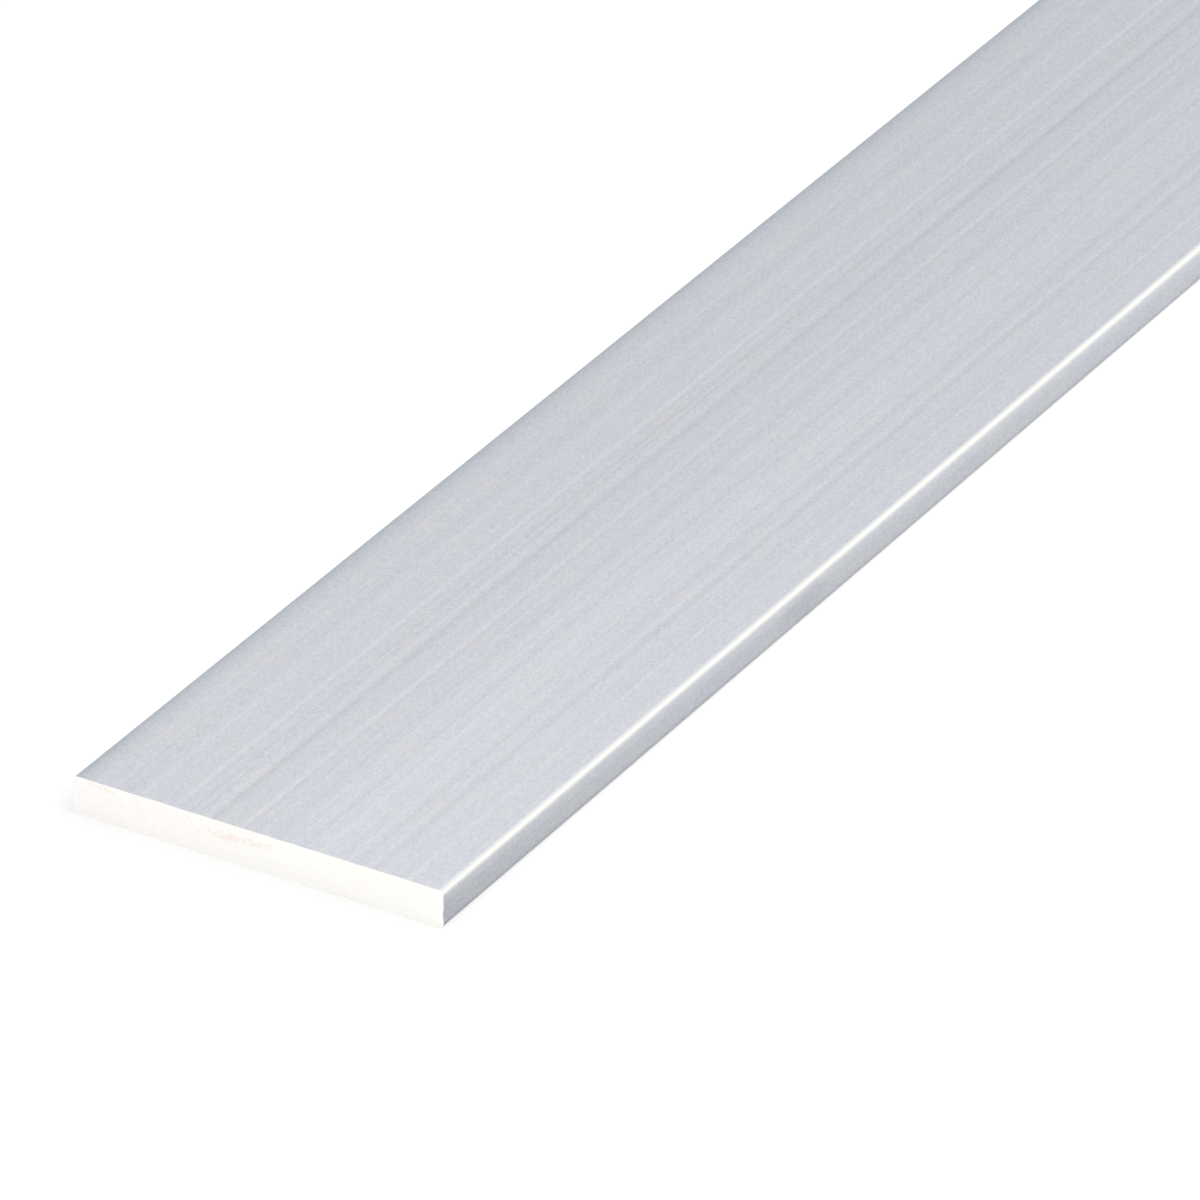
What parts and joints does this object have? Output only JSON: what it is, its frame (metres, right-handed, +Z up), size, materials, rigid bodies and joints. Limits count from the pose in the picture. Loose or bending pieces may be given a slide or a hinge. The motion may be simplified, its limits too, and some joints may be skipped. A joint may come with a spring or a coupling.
{
  "type": "aluminium flat bar",
  "caption": "Long plain flat bar of extruded aluminium with a rectangular section, lightly rounded long corners and square-sawn ends, kept as stock for cutting, drilling and fastening.",
  "frame": {"origin": "middle of the underside, halfway along the length and across the width", "axes": "+X along the length, +Y across the width, +Z up through the thickness, away from the face that the bar lies on"},
  "size_m": [1, 0.03, 0.003],
  "materials": {
    "aluminium": "satin mill finish with fine lengthwise die lines, and brighter matt sawn ends"
  },
  "bodies": {
    "root": {"flat_bar": "aluminium"}
  },
  "joints": []
}
